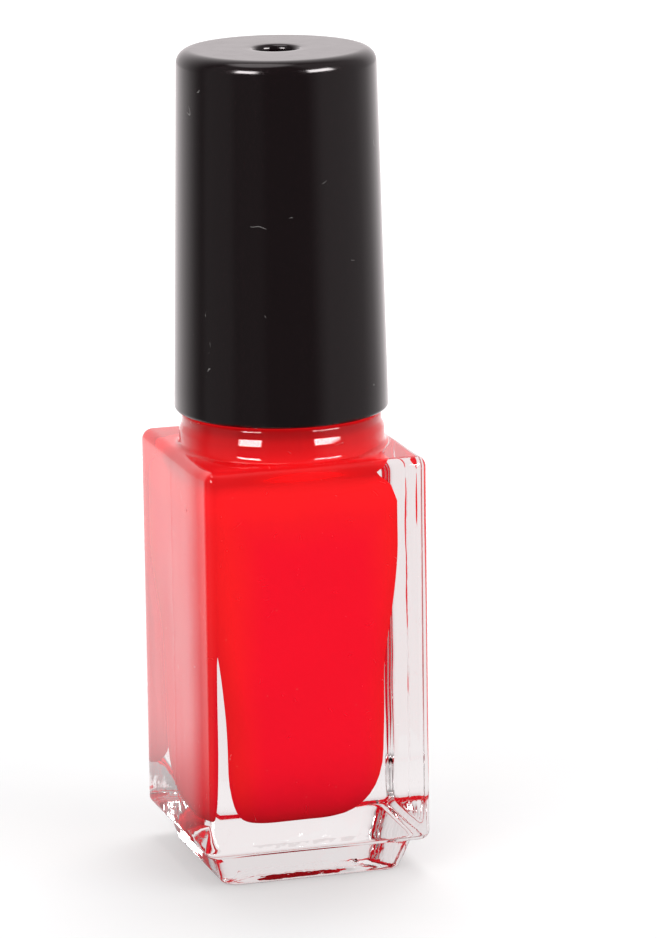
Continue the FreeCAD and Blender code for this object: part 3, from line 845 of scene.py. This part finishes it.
def make_floor():
    """A round white floor. To polished surfaces it glows like the room."""
    count = 96
    bm = bmesh.new()
    rings = [even_ring(radius, 0, count) for radius in (60, 200, 600)]
    rows = [[bm.verts.new(point) for point in ring] for ring in rings]
    bm.faces.new(rows[0])
    for low, high in zip(rows, rows[1:]):
        for i in range(count):
            j = (i + 1) % count
            bm.faces.new((low[i], low[j], high[j], high[i]))
    piece = mesh_object("floor", bm)
    piece.modifiers.clear()
    mat, n = material("floor_white")
    where = n.add("ShaderNodeTexCoord", out="Object")
    heading = n.add("ShaderNodeVectorMath", (where,), operation="NORMALIZE")
    reach = n.add("ShaderNodeVectorMath", (where,), out="Value", operation="LENGTH")
    far = n.step(reach, 0.012, 0.05)
    through = n.add("ShaderNodeLightPath", out="Is Transmission Ray")
    bright = back_to_front(n, heading, FLOOR_GLOW)
    distant = n.math("MAXIMUM", n.math("MULTIPLY", bright, FLOOR_THROUGH_GLASS), SIDE_GLASS)
    behind_glass = n.add("ShaderNodeMix", {0: far, 2: FLOOR_UNDER_GLASS, 3: distant}, out=0)
    # painted shadow: near the object the floor glows less in reflections
    mirrored = n.math("MULTIPLY", bright, n.step(far, 0.0, 1.0, FLOOR_MIRRORED, 1.0))
    glow = n.add("ShaderNodeMix", {0: through, 2: mirrored, 3: behind_glass}, out=0)
    polished = n.add("ShaderNodeLightPath", out="Is Glossy Ray")
    seen = n.add("ShaderNodeLightPath", out="Is Camera Ray")
    paper = n.noise(n.place(), 0.05, 3.0)
    white = n.mix(n.step(paper, 0.3, 0.7), (0.55, 0.55, 0.555, 1), (0.565, 0.56, 0.56, 1))
    matte = n.add("ShaderNodeBsdfDiffuse", {"Color": white})
    # the camera sees the floor a little brighter than it is lit, more so far from the object; the smaller lift
    # near it is a painted shadow around the foot
    lift = n.math("MULTIPLY", seen, n.step(reach, 0.03, 0.22, 0.3, 0.75))
    lift = n.math("MAXIMUM", lift, n.math("MULTIPLY", through, 0.04))
    base = n.add("ShaderNodeAddShader", (matte, n.add("ShaderNodeEmission", {"Strength": lift})))
    glare = n.add("ShaderNodeEmission", {"Color": WARM, "Strength": glow})
    n.finish(n.add("ShaderNodeMixShader", (polished, base, glare)))
    piece.data.materials.append(mat)


def area_lamp(name, turn, up, distance, wide, tall, radiance):
    """A soft lamp that lights matt surfaces; polished ones see the world's softboxes instead. It stands at
    an azimuth from the camera and an elevation, both in degrees, seen from the middle of the bottle."""
    light = bpy.data.lights.new(name, "AREA")
    light.shape = "RECTANGLE"
    light.size, light.size_y = wide, tall
    light.energy = radiance * math.pi * wide * tall
    lamp = bpy.data.objects.new(name, light)
    bpy.context.scene.collection.objects.link(lamp)
    a, e = math.radians(turn), math.radians(up)
    toward = (-AWAY * math.cos(a) + RIGHT * math.sin(a)) * math.cos(e) + Vector((0, 0, math.sin(e)))
    lamp.location = toward * distance + Vector((0, 0, 0.03))
    lamp.rotation_euler = toward.to_track_quat("Z", "Y").to_euler()
    lamp.visible_glossy = False
    lamp.visible_transmission = False


def make_camera():
    """The picture's view: a long lens, slightly from above and from the left."""
    distance, height = 0.399, 0.1222
    yaw, pitch, roll = math.radians(0.50), math.radians(13.03), math.radians(-0.78)
    up = Vector((0, 0, 1))
    ahead = AWAY * math.cos(yaw) + RIGHT * math.sin(yaw)
    right = RIGHT * math.cos(yaw) - AWAY * math.sin(yaw)
    look = ahead * math.cos(pitch) - up * math.sin(pitch)
    top = up * math.cos(pitch) + ahead * math.sin(pitch)
    side = right * math.cos(roll) + top * math.sin(roll)
    crown = top * math.cos(roll) - right * math.sin(roll)
    data = bpy.data.cameras.new("camera")
    data.sensor_width = 36
    data.lens = 210.2
    data.clip_start, data.clip_end = 0.01, 10
    camera = bpy.data.objects.new("camera", data)
    bpy.context.scene.collection.objects.link(camera)
    turn = camera.matrix_world.to_3x3()
    for row in range(3):
        turn[row] = (side[row], crown[row], -look[row])
    place = turn.to_4x4()
    place.translation = -AWAY * distance + up * height
    camera.matrix_world = place
    bpy.context.scene.camera = camera


make_world()
make_floor()
area_lamp("softbox_left", -36, 35, 0.6, 0.5, 0.5, 1.9)
area_lamp("softbox_right", 56, 33, 0.6, 0.5, 0.5, 2.2)
area_lamp("overhead_light", 172, 70, 0.5, 0.25, 0.25, 7.5)
make_camera()

bpy.context.scene.view_settings.view_transform = "Standard"
